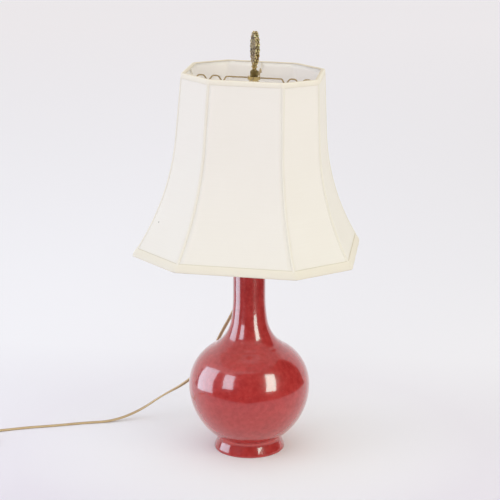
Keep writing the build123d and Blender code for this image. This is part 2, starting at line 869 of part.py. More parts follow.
with BuildPart() as coil:
    with BuildLine() as coil_path:
        heading = Vector(-1, 0, 0)
        here = coil_start + heading * cord_diameter
        Line(coil_start, here)
        for radius in coil_radii:
            here, heading = half_turn(here, heading, radius)
        here, heading = half_turn(here, heading, climb_radius, coil_pitch)
        for radius in reversed(coil_radii[1:]):
            here, heading = half_turn(here, heading, radius)
        left = up.cross(heading)
        quarter_end = here + (heading + left) * coil_radius
        TangentArc(here, quarter_end, tangent=heading)
        coil_end = quarter_end + left * coil_tail
        Line(quarter_end, coil_end)
    coil_line = coil_path.wire()
    with BuildSketch(Plane(origin=coil_line @ 0, z_dir=coil_line % 0)):
        Circle(cord_diameter / 2)
    sweep(path=coil_line)
keep(coil.part, "cord_coil")

coil_samples = 600
coil_points = [coil_line @ (k / coil_samples) for k in range(coil_samples + 1)]
apart = int(3 * cord_diameter / (coil_line.length / coil_samples))
least = min(
    (coil_points[i] - coil_points[j]).length
    for i in range(coil_samples)
    for j in range(i + apart, coil_samples + 1)
)
print("coil length:", round(coil_line.length), "least gap:", round(least - cord_diameter, 2),
      "whole cord:", round(cord_line.length + coil_line.length))

# Tie round the coil's near side
tie_across = coil_start.Y - 2 * coil_radius + coil_radii[1]
coil_middle = coil_start.X - cord_diameter
tie_inner = coil_middle + sqrt(climb_radius**2 - (tie_width / 2) ** 2) - cord_diameter / 2 - tie_gap
tie_outer = coil_middle + coil_radii[1] + cord_diameter / 2 + tie_gap
tie_low = tie_thickness
tie_high = coil_base + coil_pitch + cord_diameter / 2 + tie_gap
with BuildPart() as tie:
    with BuildSketch(Plane.XZ.offset(-tie_across - tie_width / 2)):
        with Locations(((tie_inner + tie_outer) / 2, (tie_low + tie_high) / 2)):
            Rectangle(tie_outer - tie_inner + 2 * tie_thickness, tie_high - tie_low + 2 * tie_thickness)
            Rectangle(tie_outer - tie_inner, tie_high - tie_low, mode=Mode.SUBTRACT)
    extrude(amount=tie_width)
keep(tie.part, "cord_tie")

# Plug with two flat blades, lying at the coil's end
plug_height = 2 * coil_end.Z
plug_back = -coil_end.Y
with BuildPart() as plug:
    with BuildSketch(Plane.XZ.offset(plug_back)):
        with Locations((coil_end.X, coil_end.Z)):
            Circle(plug_neck / 2)
    with BuildSketch(Plane.XZ.offset(plug_back + plug_length / 2)):
        with Locations((coil_end.X, coil_end.Z)):
            RectangleRounded(plug_width, plug_height, plug_rounding)
    loft()
    with BuildSketch(Plane.XZ.offset(plug_back + plug_length / 2)):
        with Locations((coil_end.X, coil_end.Z)):
            RectangleRounded(plug_width, plug_height, plug_rounding)
    extrude(amount=plug_length / 2)
keep(plug.part, "plug_body")

with BuildPart() as blades:
    with BuildSketch(Plane.XZ.offset(plug_back + plug_length)):
        for hand in (-1, 1):
            with Locations((coil_end.X + hand * blade_spacing / 2, coil_end.Z)):
                Rectangle(blade_thickness, blade_width)
    extrude(amount=blade_length)
keep(blades.part, "plug_blades")
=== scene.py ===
# %% [markdown]
# # Dressing a vase lamp
# The lamp was built as separate solids in another program. This lesson loads those solids as a fixed frame
# and dresses them: a red glaze on the vase, stretched ivory fabric on the shade, cast brass on top and a
# flat gold cord behind. Nothing is moved. A rigid solid keeps its shape and gets a finish, while cloth,
# cord and fine castings are modelled again in the same place and stand for their solids.

# %% Load the lamp
import json
import math

import bmesh
import bpy
from mathutils import Matrix, Vector


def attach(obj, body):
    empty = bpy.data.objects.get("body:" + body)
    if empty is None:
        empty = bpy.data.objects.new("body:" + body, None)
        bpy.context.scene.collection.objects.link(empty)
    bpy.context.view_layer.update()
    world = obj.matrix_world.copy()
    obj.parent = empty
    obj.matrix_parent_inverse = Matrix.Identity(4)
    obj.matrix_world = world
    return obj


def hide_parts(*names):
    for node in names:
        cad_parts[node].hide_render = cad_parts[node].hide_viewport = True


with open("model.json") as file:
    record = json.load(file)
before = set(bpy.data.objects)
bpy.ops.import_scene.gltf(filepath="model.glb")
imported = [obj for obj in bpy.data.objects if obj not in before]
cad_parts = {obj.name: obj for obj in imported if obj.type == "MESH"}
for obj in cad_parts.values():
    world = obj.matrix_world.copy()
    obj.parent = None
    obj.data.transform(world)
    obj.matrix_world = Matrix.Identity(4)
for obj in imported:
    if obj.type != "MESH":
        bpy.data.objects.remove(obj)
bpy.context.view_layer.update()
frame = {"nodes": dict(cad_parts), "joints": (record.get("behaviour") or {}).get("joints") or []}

# %% [markdown]
# The harp is bent a little, so everything above the saddle leans. The shade's own hinge axis says how much.
# Pieces of the shade and the finial are modelled upright, where the maths is simple, and then leaned over.

# %% The lean of the harp
shade_joint = next(joint for joint in frame["joints"] if joint["name"] == "shade_turn")
lean_seat = Vector(shade_joint["pos_m"])
lean_turn = Vector((0, 0, 1)).rotation_difference(Vector(shade_joint["axis"]))
lean = Matrix.Translation(lean_seat) @ lean_turn.to_matrix().to_4x4() @ Matrix.Translation(-lean_seat)
print("the shade leans", round(math.degrees(lean_turn.angle), 2), "degrees")

# %% [markdown]
# The camera stands to the right of the lamp's front and a little above it. Its place and its long lens were
# worked out from the shade's corners and the foot's ellipse, so the outline of every piece can be compared
# with the picture. The lens is written in pixels of the square frame and turned into millimetres here.

# %% Camera
frame_side_px = 500
lens_px = 1632.8
sideways_px = 0.74
sensor_mm = 36.0
camera_place = Vector((0.2955, -2.3586, 0.9518))
camera_aim = Vector((0, 0, 0.3144))


def shown(name, data):
    """Put a camera, a light or a mesh in the scene."""
    thing = bpy.data.objects.new(name, data)
    bpy.context.scene.collection.objects.link(thing)
    return thing


camera = shown("camera", bpy.data.cameras.new("camera"))
bpy.context.scene.camera = camera
camera.location = camera_place
camera.rotation_mode = "QUATERNION"
camera.rotation_quaternion = (camera_aim - camera_place).to_track_quat("-Z", "Y")
camera.data.sensor_width = sensor_mm
camera.data.lens = sensor_mm * lens_px / frame_side_px
camera.data.shift_x = sideways_px / frame_side_px
print("lens", round(camera.data.lens, 1), "mm")

# %% [markdown]
# Shader nodes are easier to read as sums. A Wire holds one output of a node and answers to plus, minus and
# times by adding a Math node. A Finish is a material. Its method node makes any other node from its type,
# its settings and what goes into its sockets, and the short methods after it are the kinds that come up
# most. Colours go through Mix nodes, never through Math.


# %% Shader maths
def srgb(red, green, blue):
    """A colour as a screen shows it, from 0 to 255, as the light it stands for."""
    def light(value):
        share = value / 255
        return share / 12.92 if share <= 0.04045 else ((share + 0.055) / 1.055) ** 2.4
    return light(red), light(green), light(blue), 1.0


class Wire:
    """One output of a shader node, which can be used in sums."""

    def __init__(self, finish, socket):
        self.finish = finish
        self.socket = socket

    def maths(self, operation, first, second):
        return self.finish.node("Math", {"operation": operation}, {0: first, 1: second})

    def __add__(self, other):
        return self.maths("ADD", self, other)

    def __radd__(self, other):
        return self.maths("ADD", other, self)

    def __sub__(self, other):
        return self.maths("SUBTRACT", self, other)

    def __rsub__(self, other):
        return self.maths("SUBTRACT", other, self)

    def __mul__(self, other):
        return self.maths("MULTIPLY", self, other)

    def __rmul__(self, other):
        return self.maths("MULTIPLY", other, self)


class Finish:
    """A material, built up node by node round one Principled shader."""

    def __init__(self, name, **constants):
        self.material = bpy.data.materials.new(name)
        self.material.use_nodes = True
        self.tree = self.material.node_tree
        self.surface = self.tree.nodes["Principled BSDF"]
        self.set(**constants)

    def feed(self, socket, value):
        if isinstance(value, Wire):
            self.tree.links.new(value.socket, socket)
        else:
            socket.default_value = value

    def node(self, kind, settings=None, inputs=None, output=0):
        made = self.tree.nodes.new("ShaderNode" + kind)
        for key, value in (settings or {}).items():
            if key == "stops":
                set_stops(made.color_ramp, value)
            else:
                setattr(made, key, value)
        for key, value in (inputs or {}).items():
            self.feed(made.inputs[key], value)
        return Wire(self, made.outputs[output])

    def set(self, **values):
        for key, value in values.items():
            socket = key.replace("_", " ").title().replace("Ior", "IOR")
            self.feed(self.surface.inputs[socket], value)

    def mix(self, factor, first, second):
        return self.node("Mix", {"data_type": "RGBA"}, {0: factor, 6: first, 7: second}, 2)

    def ramp(self, value, *stops):
        return self.node("ValToRGB", {"stops": stops}, {"Fac": value})

    def place(self, stretch=(1, 1, 1)):
        where = self.node("TexCoord", output="Object")
        return self.node("Mapping", None, {"Vector": where, "Scale": stretch})

    def flat_map(self):
        return self.node("TexCoord", output="UV")

    def along(self, axis, where=None):
        return self.node("SeparateXYZ", None, {0: where or self.place()}, axis)

    def away(self, point, where=None):
        sockets = {0: where or self.place(), 1: point}
        return self.node("VectorMath", {"operation": "DISTANCE"}, sockets, "Value")

    def fade(self, value, start, end, most=1.0):
        return self.node("MapRange", None, {0: value, 1: start, 2: end, 4: most})

    def noise(self, scale, where=None, detail=3.0):
        sockets = {"Vector": where or self.place(), "Scale": scale, "Detail": detail}
        return self.node("TexNoise", None, sockets)

    def bump(self, height, distance, strength=1.0):
        sockets = {"Height": height, "Distance": distance, "Strength": strength}
        self.set(normal=self.node("Bump", None, sockets))


def set_stops(ramp, stops):
    """Give a colour ramp these places and greys or colours."""
    while len(ramp.elements) < len(stops):
        ramp.elements.new(0.5)
    for element, (place, value) in zip(ramp.elements, stops):
        element.position = place
        element.color = value if isinstance(value, tuple) else (value, value, value, 1)


print("shader maths is ready")

# %% [markdown]
# The stage is a wide sheet of pale paper under an even sky, a little cool from the left and warm from the
# right, like a room with a window on one side and lamps on the other. The camera looks down so much that
# the paper fills the whole picture. Light and shade are painted on it: it is painted a touch greyer to the
# right and in front, lighter far off, and whitest round the lamp, where that painted light lifts the lamp's
# own shadow. The sky's nodes are built with the same sums as a finish, and what the camera and mirrors see
# of it is the plain tone of the paper.

# %% Stage
# Paper tones with painted light and shade: lighter and cooler on the left, greyer on the right, lighter far
# off, greyer in front and whitest round the lamp.
painted_light_paper_left = srgb(244, 245, 252)
painted_shade_paper_right = srgb(239, 239, 244)
painted_light_paper_far = srgb(248, 246, 250)
painted_shade_paper_front = srgb(218, 212, 226)
painted_light_paper_near = srgb(248, 253, 255)
paper_reach = 14.0
sky_seen = srgb(240, 238, 241)
sky_cool = (0.85, 0.86, 0.94, 1)
sky_warm = (0.92, 0.88, 0.77, 1)


class Sky(Finish):
    """The world, built node by node round its Background shader."""

    def __init__(self, name):
        self.world = bpy.data.worlds.new(name)
        self.world.use_nodes = True
        self.tree = self.world.node_tree
        self.surface = self.tree.nodes["Background"]


def staged(name, points, faces, finish, only_mirrored=False):
    """A piece of the set, which may be hidden from everything but mirror reflections."""
    mesh = bpy.data.meshes.new(name)
    mesh.from_pydata(points, [], faces)
    mesh.materials.append(finish.material)
    piece = shown(name, mesh)
    if only_mirrored:
        piece.visible_camera = False
        piece.visible_diffuse = False
        piece.visible_transmission = False
        piece.visible_shadow = False


paper = Finish("pale_paper", roughness=0.9, specular_ior_level=0.1)
# Masks for the painted light and shade on the paper: in front, far off and round the lamp.
painted_shade_in_front = paper.ramp(paper.along(1) + 0.5, (0.05, 0.95), (0.35, 0.5), (0.95, 0.0))
painted_light_far_off = paper.ramp(paper.along(1) * 0.2, (0.2, 0.0), (1.0, 1.0))
painted_light_near_lamp = paper.ramp(paper.away((0, 0, 0)), (0.05, 0.9), (0.36, 0.0))
painted_paper_tone = paper.ramp(paper.along(0) + 0.5, (0.0, painted_light_paper_left), (1.0, painted_shade_paper_right))
painted_paper_tone = paper.mix(painted_light_far_off, painted_paper_tone, painted_light_paper_far)
painted_paper_tone = paper.mix(painted_shade_in_front, painted_paper_tone, painted_shade_paper_front)
paper.set(base_color=paper.mix(painted_light_near_lamp, painted_paper_tone, painted_light_paper_near))
paper_corners = [(x * paper_reach, y * paper_reach, 0) for x, y in ((-1, -1), (1, -1), (1, 1), (-1, 1))]
staged("paper", paper_corners, [(0, 1, 2, 3)], paper)

sky = Sky("sky")
bpy.context.scene.world = sky.world
by_eye, by_mirror, by_glass = [
    sky.node("LightPath", output=f"Is {ray} Ray") for ray in ("Camera", "Glossy", "Transmission")
]
sky_is_seen = sky.node("Math", {"operation": "ADD", "use_clamp": True}, {0: by_eye + by_mirror, 1: by_glass})
sky_across = sky.along(0, sky.node("TexCoord", output="Generated"))
sky_tone = sky.mix(sky_across * 0.5 + 0.5, sky_cool, sky_warm)
sky.set(color=sky.mix(sky_is_seen, sky_tone, sky_seen))
bpy.context.scene.view_settings.view_transform = "Standard"
print("paper and sky are up")

# %% [markdown]
# A glossy vase shows what it mirrors. The bright patches on the belly and the stripes on the neck are the
# same three soft boxes seen twice, and that fixes where they stand: half a metre or so from the vase, a
# tall one square to the left, a smaller one at the front left and a warm one at the front right. Past the
# edge of the table, which is nearest in front, the room is dark, up to a wall that is lower on the left.
# These cards are seen by mirror reflections alone, so the even light of the sky stays plain.

# %% Mirrored room
left_distance = 0.62
front_distance = 0.5
table_reach = 0.385
table_left = 0.19
table_right = 0.16
room_reach = 3.2
room_height = 5.0
room_drop = 0.035
room_left = -112
room_right = 130
room_steps = 26
room_tone = (0.035, 0.035, 0.035, 1)
floor_level = 0.001


def spaced(start, end, steps):
    """Values at even steps from start to end."""
    return [start + (end - start) * k / steps for k in range(steps + 1)]


def round_vase(azimuth, reach, height):
    """A point of the set as the vase sees it: degrees from straight ahead, to the right, and metres."""
    turn = math.radians(azimuth)
    return Vector((math.sin(turn) * reach, -math.cos(turn) * reach, height))


def soft_box(name, colour, glow, distance, *corners):
    """A glowing card with its corners given as azimuth and height."""
    finish = Finish(name, base_color=(0, 0, 0, 1), specular_ior_level=0.0)
    finish.set(emission_color=colour, emission_strength=glow)
    points = [round_vase(azimuth, distance, height) for azimuth, height in corners]
    staged(name, points, [(0, 1, 2, 3)], finish, only_mirrored=True)


soft_box("left_box", (0.60, 0.86, 1.0, 1), 5.6, left_distance,
         (-102.8, 0.41), (-68.9, 0.66), (-60.6, 0.055), (-99.8, 0.0))
soft_box("front_left_box", (0.60, 0.88, 1.0, 1), 6.8, front_distance,
         (-49, 0.54), (-25, 0.58), (-22, 0.22), (-41, 0.20))
soft_box("front_right_box", (0.70, 1.0, 0.90, 1), 10.0, front_distance,
         (45, 0.64), (66, 0.53), (54, 0.16), (36, 0.17))

room_points = []
for azimuth in spaced(room_left, room_right, room_steps):
    table_spread = table_right if azimuth > 0 else table_left
    table_edge = table_reach + table_spread * abs(math.radians(azimuth))
    wall = room_height + room_drop * min(azimuth, 0)
    for reach, height in ((table_edge, floor_level), (room_reach, floor_level), (room_reach, wall)):
        room_points.append(round_vase(azimuth, reach, height))
room_faces = [
    (3 * k + j, 3 * k + j + 1, 3 * k + j + 4, 3 * k + j + 3) for k in range(room_steps) for j in range(2)
]
staged("dark_room", room_points, room_faces, Finish("dark_cloth", base_color=room_tone, roughness=1.0),
       only_mirrored=True)
print("three soft boxes stand in a dark room")

# %% [markdown]
# The sky alone would leave the vase dim, because the wide shade hides it from above. Broad lights fill it
# in: a low cool one from the left, a low warm one from the right, and a high one in front that also reaches
# over the rim into the shade. Mirrors don't see them. Each one's level says how bright it alone would make
# white paper.

# %% Broad lights
light_distance = 2.6
light_side = 1.5
light_aim = Vector((0, 0, 0.25))


def broad_light(name, azimuth, elevation, level, colour):
    rise = math.radians(elevation)
    away = round_vase(azimuth, math.cos(rise), math.sin(rise))
    light = bpy.data.lights.new(name, "AREA")
    light.size = light_side
    light.energy = level * (math.pi * light_distance) ** 2
    light.color = colour
    lamp = shown(name, light)
    lamp.location = light_aim + away * light_distance
    lamp.rotation_mode = "QUATERNION"
    lamp.rotation_quaternion = away.to_track_quat("Z", "Y")
    lamp.visible_camera = False
    lamp.visible_glossy = False


broad_light("left_light", -65, 25, 0.14, (0.94, 0.96, 1.0))
broad_light("right_light", 60, 25, 0.145, (1.0, 0.97, 0.82))
broad_light("front_light", 0, 52, 0.075, (1.0, 0.99, 0.97))
print("three broad lights fill in below the shade")

# %% [markdown]
# Every new piece goes through the same last steps: it gets its finish, smooth shading that stops at real
# edges and a body to ride on. Round pieces are spun from an outline, and arcs that leave a point in a given
# direction draw those outlines, just as a potter or a metal spinner would follow a template.


# %% Helpers for round pieces
def settle(name, mesh, finish, body, slot, *stands_for, sharp=35):
    """Make a piece from a mesh, and say what it rides on and which solids it stands for."""
    piece = shown(name, mesh)
    mesh.materials.append(finish.material)
    mesh.shade_smooth()
    mesh.set_sharp_from_angle(angle=math.radians(sharp))
    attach(piece, body)
    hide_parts(*stands_for)
    print(name, "has", len(mesh.vertices), "points")
    return piece


def around(turn, reach=1.0, height=0.0):
    """A point at this angle round an upright axis, this far from it and this high."""
    return Vector((math.cos(turn) * reach, math.sin(turn) * reach, height))


def even_turns(count):
    """Angles at even steps once round a circle."""
    return [2 * math.pi * k / count for k in range(count)]


def length_of(path):
    """How long a path is from its first point to its last."""
    return sum((b - a).length for a, b in zip(path, path[1:]))


def tangent_arc(start, end, heading, steps):
    """Points of the arc that leaves start along heading and reaches end, and its heading there."""
    start, end, heading = Vector(start), Vector(end), Vector(heading).normalized()
    chord = end - start
    turn = 2 * math.atan2(heading.x * chord.y - heading.y * chord.x, heading.dot(chord))
    side = Vector((-heading.y, heading.x))
    centre = start + side * (chord.length_squared / (2 * side.dot(chord)))
    spokes = [Matrix.Rotation(turn * k / steps, 2) @ (start - centre) for k in range(steps + 1)]
    return [centre + spoke for spoke in spokes], Matrix.Rotation(turn, 2) @ heading


def to_mesh(name, build):
    """Turn a finished build into a mesh."""
    mesh = bpy.data.meshes.new(name)
    build.to_mesh(mesh)
    build.free()
    return mesh


def spun(name, outline, steps):
    """Turn an outline of radius and height about the upright axis."""
    build = bmesh.new()
    ring = [build.verts.new((radius, 0, height)) for radius, height in outline]
    edges = [build.edges.new(pair) for pair in zip(ring, ring[1:])]
    bmesh.ops.spin(build, geom=ring + edges, axis=(0, 0, 1), cent=(0, 0, 0), angle=2 * math.pi,
                   steps=steps, use_merge=True)
    bmesh.ops.remove_doubles(build, verts=build.verts, dist=1e-6)
    bmesh.ops.recalc_face_normals(build, faces=build.faces)
    return to_mesh(name, build)


print("helpers are ready")

# %% [markdown]
# Cloth, cord and bent wire are all lofts: a row of points is carried along and skinned. This helper makes
# the mesh and lays a map on it in metres, measured along the rows, so that a weave can follow the cloth
# wherever it bends. Rows can close on themselves, as round a wire, and the last row can join the first, as
# round a ring.


# %% Helper for lofts
def lofted(name, rows, ring=False, loop=False, capped=False):
    """Skin rows of points. A ring closes each row, a loop joins the last row to the first."""
    wide, tall = len(rows[0]), len(rows)
    build = bmesh.new()
    layer = build.loops.layers.uv.new("flat")
    grid = [[build.verts.new(point) for point in row] for row in rows]
    across, along = [0.0], [0.0]
    middle = rows[tall // 2]
    for k in range(wide):
        across.append(across[-1] + (Vector(middle[(k + 1) % wide]) - Vector(middle[k])).length)
    for k in range(tall):
        along.append(along[-1] + (Vector(rows[(k + 1) % tall][0]) - Vector(rows[k][0])).length)
    for i in range(tall if loop else tall - 1):
        for j in range(wide if ring else wide - 1):
            corners = ((i, j), (i, j + 1), (i + 1, j + 1), (i + 1, j))
            face = build.faces.new([grid[a % tall][b % wide] for a, b in corners])
            for corner, (a, b) in zip(face.loops, corners):
                corner[layer].uv = (across[b], along[a])
    if capped:
        build.faces.new(list(reversed(grid[0])))
        build.faces.new(grid[-1])
    bmesh.ops.recalc_face_normals(build, faces=build.faces)
    return to_mesh(name, build)


def headings(path, loop=False):
    """The direction of travel at each point of a path."""
    count = len(path)
    ahead = [path[(k + 1) % count] if loop else path[min(k + 1, count - 1)] for k in range(count)]
    behind = [path[k - 1] if loop else path[max(k - 1, 0)] for k in range(count)]
    return [(Vector(b) - Vector(a)).normalized() for a, b in zip(behind, ahead)]


print("lofts are ready")

# %% [markdown]
# The cord is flat twin lead, two covered wires side by side, a little over five millimetres wide. It leaves
# the bushing on the socket, drops behind the neck, touches the table to the left and runs away out of the
# picture, where the rest of its 1.8 metres lies in a tied coil. The route is one smooth spline through
# given points, and the coil's turns are more points of the same spline, worked out half a turn at a time.

# %% Cord route
cord_width = 0.0052
cord_thick = 0.0030
cord_rest = 0.0016
coil_layers = (0.0027, 0.0062)
cord_exit = (0, 0.0387, 0.3557)
cord_route = [
    cord_exit,
    (0, 0.0570, 0.3557),
    (-0.0015, 0.0735, 0.3450),
    (-0.0030, 0.0825, 0.3260),
    (-0.0060, 0.0850, 0.2980),
    (-0.0110, 0.0820, 0.2640),
    (-0.0190, 0.0815, 0.2270),
    (-0.0375, 0.0855, 0.1870),
    (-0.0600, 0.0925, 0.1450),
    (-0.0810, 0.0990, 0.0950),
    (-0.1170, 0.1030, 0.0600),
    (-0.1550, 0.1025, 0.0380),
    (-0.1940, 0.0960, 0.0105),
    (-0.2320, 0.0705, cord_rest),
    (-0.2750, 0.0585, cord_rest),
    (-0.3170, 0.0410, cord_rest),
    (-0.3600, 0.0270, cord_rest),
    (-0.3980, 0.0095, cord_rest),
    (-0.4190, -0.0010, coil_layers[0]),
    (-0.4370, -0.0010, coil_layers[0]),
]
coil_start = Vector((-0.4422, -0.0010, coil_layers[0]))
coil_radius = 0.0400
coil_step = 0.0029
coil_half_turns = 5
half_turn_points = 8
plug_place = Vector((-0.4822, -0.0688, 0.0099))
plug_back = 0.0065
tail_back = 0.0150
tail_share = 0.75

coil_points = []
here = coil_start
heading = Vector((-1, 0, 0))
radii = [coil_radius - k * coil_step for k in range(coil_half_turns)]
climb_radius = coil_radius - coil_half_turns * coil_step
for number, radius in enumerate(radii + [climb_radius] + radii[:0:-1] + [coil_radius]):
    left = Vector((-heading.y, heading.x, 0))
    climb = (coil_layers[1] - coil_layers[0]) if number == coil_half_turns else 0
    last = number == 2 * coil_half_turns
    for j in range(half_turn_points // 2 if last else half_turn_points):
        turn = math.pi * (j + 0.5) / half_turn_points
        spoke = radius / math.cos(math.pi / (2 * half_turn_points))
        out = left * (radius - spoke * math.cos(turn)) + heading * spoke * math.sin(turn)
        coil_points.append(here + out + Vector((0, 0, climb * (j + 0.5) / half_turn_points)))
    here = here + left * 2 * radius + Vector((0, 0, climb))
    heading = -heading
tail = Vector((0, tail_back, tail_share * (coil_layers[1] - plug_place.z)))
coil_points += [plug_place + tail, plug_place + Vector((0, plug_back, 0)), plug_place]

cord_curve = bpy.data.curves.new("cord_line", "CURVE")
cord_curve.dimensions = "3D"
cord_spline = cord_curve.splines.new("NURBS")
cord_points = [Vector(point) for point in cord_route] + coil_points
cord_spline.points.add(len(cord_points) - 1)
for point, place in zip(cord_spline.points, cord_points):
    point.co = (*place, 1)
cord_spline.order_u = 3
cord_spline.use_endpoint_u = True
cord_spline.resolution_u = 8
cord_line = bpy.data.objects.new("cord_line", cord_curve)
cord_path = [vertex.co.copy() for vertex in bpy.data.meshes.new_from_object(cord_line).vertices]
bpy.data.objects.remove(cord_line)
print("cord is", round(length_of(cord_path), 3), "m along", len(cord_path), "points")

# %% [markdown]
# Flat lead lies on its broad side on a table, and turns its broad side to the wall where it hangs. So the
# skin follows a reference direction that is up on the table, sideways along the drop and up again at the
# bushing. The section is two round covers that run into each other, with a groove between them on both
# faces. The plastic is a clear-coated gold, patchy along its length, with painted shade darkening the
# groove.

# %% Cord skin
lobe_radius = cord_thick / 2
lobe_out = cord_width / 2 - lobe_radius
lobe_points = 9
cover_turn = math.pi - math.acos(lobe_out / lobe_radius)
table_to_drop = (0.02, 0.09)
drop_to_bushing = (0.31, 0.35)
groove_shade_start = 0.0014
groove_shade_full = 0.0004
cord_section = []
for hand in (1, -1):
    for share in spaced(-1, 1, lobe_points - 1):
        turn = cover_turn * share
        lobe = (lobe_out + lobe_radius * math.cos(turn), lobe_radius * math.sin(turn))
        cord_section.append((hand * lobe[0], hand * lobe[1]))


def ease(value, low, high):
    """Rise smoothly from 0 at low to 1 at high."""
    share = min(1.0, max(0.0, (value - low) / (high - low)))
    return share * share * (3 - 2 * share)


cord_rows = []
for place, heading in zip(cord_path, headings(cord_path)):
    aside = ease(place.z, *table_to_drop) * (1 - ease(place.z, *drop_to_bushing))
    face = Vector((0, aside, 1 - aside))
    width_way = heading.cross(face).normalized()
    thick_way = width_way.cross(heading)
    cord_rows.append([place + width_way * x + thick_way * y for x, y in cord_section])

cord_gold = Finish("cord_gold", coat_weight=0.35, coat_roughness=0.12)
cord_blot = cord_gold.noise(55.0)
cord_scuff = cord_gold.noise(420.0, detail=2.0)
cord_tone = cord_gold.mix(cord_blot, srgb(196, 168, 120), srgb(222, 198, 152))
cord_tone = cord_gold.mix(cord_scuff * 0.35, cord_tone, srgb(168, 138, 94))
cord_across = cord_gold.along(0, cord_gold.flat_map())
cover_round = lobe_radius * 2 * cover_turn
from_groove = cord_across.maths("PINGPONG", cord_across, cover_round / 2)
# Painted shade: the groove between the two covers is darkened.
painted_groove_shade = cord_gold.fade(from_groove, groove_shade_start, groove_shade_full)
cord_gold.set(base_color=cord_gold.mix(painted_groove_shade * 0.75, cord_tone, srgb(112, 82, 46)))
cord_gold.set(roughness=0.26 + 0.16 * cord_scuff)
cord_gold.bump(cord_scuff, 0.00008)
cord = settle("cord_lead", lofted("cord_lead", cord_rows, ring=True, capped=True), cord_gold, "base",
              "cord_plastic", "cord", "cord_coil", sharp=50)

# %% [markdown]
# The vase is one wall of clay: a foot ring that flares to the table, a hard crease where the belly sits on
# it, a wide round belly, a shoulder that hollows into the neck, and a straight neck with a small lip under
# the brass cap. The outline is drawn as arcs that run into each other and spun. A faint ridge runs round
# the shoulder, as on vases thrown in two halves. The glaze is paler in a fine line under the crease.

# %% Vase
vase_wall = 0.005
foot_radius = 0.0541
foot_slope = 0.0100
foot_cove = (0.0494, 0.0142)
foot_top = 0.0182
waist = (0.0486, 0.0200)
belly = (0.0926, 0.1020)
shoulder = (0.0575, 0.1620)
neck_base = (0.0276, 0.2050)
neck = (0.0245, 0.2450)
lip_start = (0.0245, 0.3180)
lip = (0.0265, 0.3300)
foot_recess = 0.0080
foot_floor = 0.0090
foot_round = 0.0009
ring_round = 0.0012
lip_round = 0.0010
floor_share = 0.92
crease_line_width = 0.0012
ridge = 0.1680
ridge_half = 0.0030
ridge_rise = 0.0005

cove, leaving = tangent_arc((waist[0], foot_top), foot_cove, (0, -1), 6)
toe, _ = tangent_arc(cove[-1] + leaving * foot_slope, (foot_radius, foot_round), leaving, 8)
belly_low, _ = tangent_arc(belly, waist, (0, -1), 48)
belly_high, leaving = tangent_arc(belly, shoulder, (0, 1), 36)
hollow, leaving = tangent_arc(shoulder, neck_base, leaving, 48)
rise, _ = tangent_arc(neck_base, neck, leaving, 10)
flare, _ = tangent_arc(lip_start, lip, (0, 1), 8)
outer = toe[::-1] + cove[::-1] + belly_low[::-1] + belly_high[1:] + hollow[1:] + rise[1:] + flare
for point in outer:
    beside = min(1.0, abs(point.y - ridge) / ridge_half)
    point.x += ridge_rise * (1 - beside * beside) ** 2

inner = []
for before, point, after in zip(outer, outer[1:], outer[2:]):
    along = (after - before).normalized()
    inside = point + Vector((-along.y, along.x)) * vase_wall
    if inside.y > foot_recess + foot_floor + vase_wall:
        inner.append(inside)
ring_in = waist[0] - vase_wall
foot_edge = [(foot_radius - foot_round * (1 - math.cos(t)), foot_round * (1 - math.sin(t)))
             for t in spaced(0, math.pi / 2, 4)[1:]]
outline = [(0, foot_recess + foot_floor), (inner[0].x * floor_share, foot_recess + foot_floor)]
outline += [tuple(point) for point in inner]
outline += [(lip[0] - vase_wall + lip_round, lip[1]), (lip[0] - lip_round, lip[1])]
outline += [tuple(point) for point in reversed(outer)]
outline += foot_edge
outline += [(ring_in + ring_round, 0), (ring_in, ring_round), (ring_in, foot_recess), (0, foot_recess)]

glaze = Finish("red_glaze", coat_weight=1.0, coat_roughness=0.02, coat_ior=1.5, specular_ior_level=0.45)
glaze_cloud = glaze.noise(26.0, detail=5.0)
glaze_mottle = glaze.ramp(glaze.noise(130.0, detail=4.0), (0.36, 0.0), (0.64, 1.0))
glaze_fleck = glaze.noise(310.0, detail=2.0)
glaze_cells = {"Vector": glaze.place(), "Scale": 210.0}
glaze_cracks = glaze.node("TexVoronoi", {"feature": "DISTANCE_TO_EDGE"}, glaze_cells)
glaze_cracks = glaze.ramp(glaze_cracks, (0.0, 1.0), (0.035, 0.0))
glaze_tone = glaze.mix(glaze_cloud * 0.5 + glaze_mottle * 0.5, srgb(160, 29, 28), srgb(192, 58, 54))
glaze_tone = glaze.mix(glaze_cracks * 0.22, glaze_tone, srgb(130, 22, 24))
glaze_speck = glaze.ramp(glaze_fleck, (0.62, 0.0), (0.74, 1.0))
glaze_tone = glaze.mix(glaze_speck * 0.16, glaze_tone, srgb(206, 104, 94))
below_crease = glaze.fade(glaze.along(2), waist[1] - 2 * crease_line_width, waist[1] - crease_line_width)
above_crease = glaze.fade(glaze.along(2), waist[1] + crease_line_width / 2, waist[1])
glaze.set(base_color=glaze.mix(below_crease * above_crease * 0.5, glaze_tone, srgb(222, 96, 92)))
glaze.set(roughness=0.18 + 0.10 * glaze_fleck)
glaze.bump(glaze_cloud * 0.5 + glaze_fleck * 0.12, 0.0002, 0.35)
vase_mesh = spun("vase_glazed", outline, 192)
settle("vase_glazed", vase_mesh, glaze, "base", "red_glaze", "vase")

# %% [markdown]
# The shade is a cut-corner bell: four long sides and four narrow ones, straight at the top and flaring to
# the bottom. Each side is its own panel of ivory cloth, cut to the bell's outline and pulled tight over the
# wire frame, so it is flat from rib to rib and draws in a hair between them. The bell's half width at a
# height and the reach of each side give every point of the shade. The cloth is painted a little lighter
# towards the top, as painted light, and one small dark speck on the left is a spot on it.

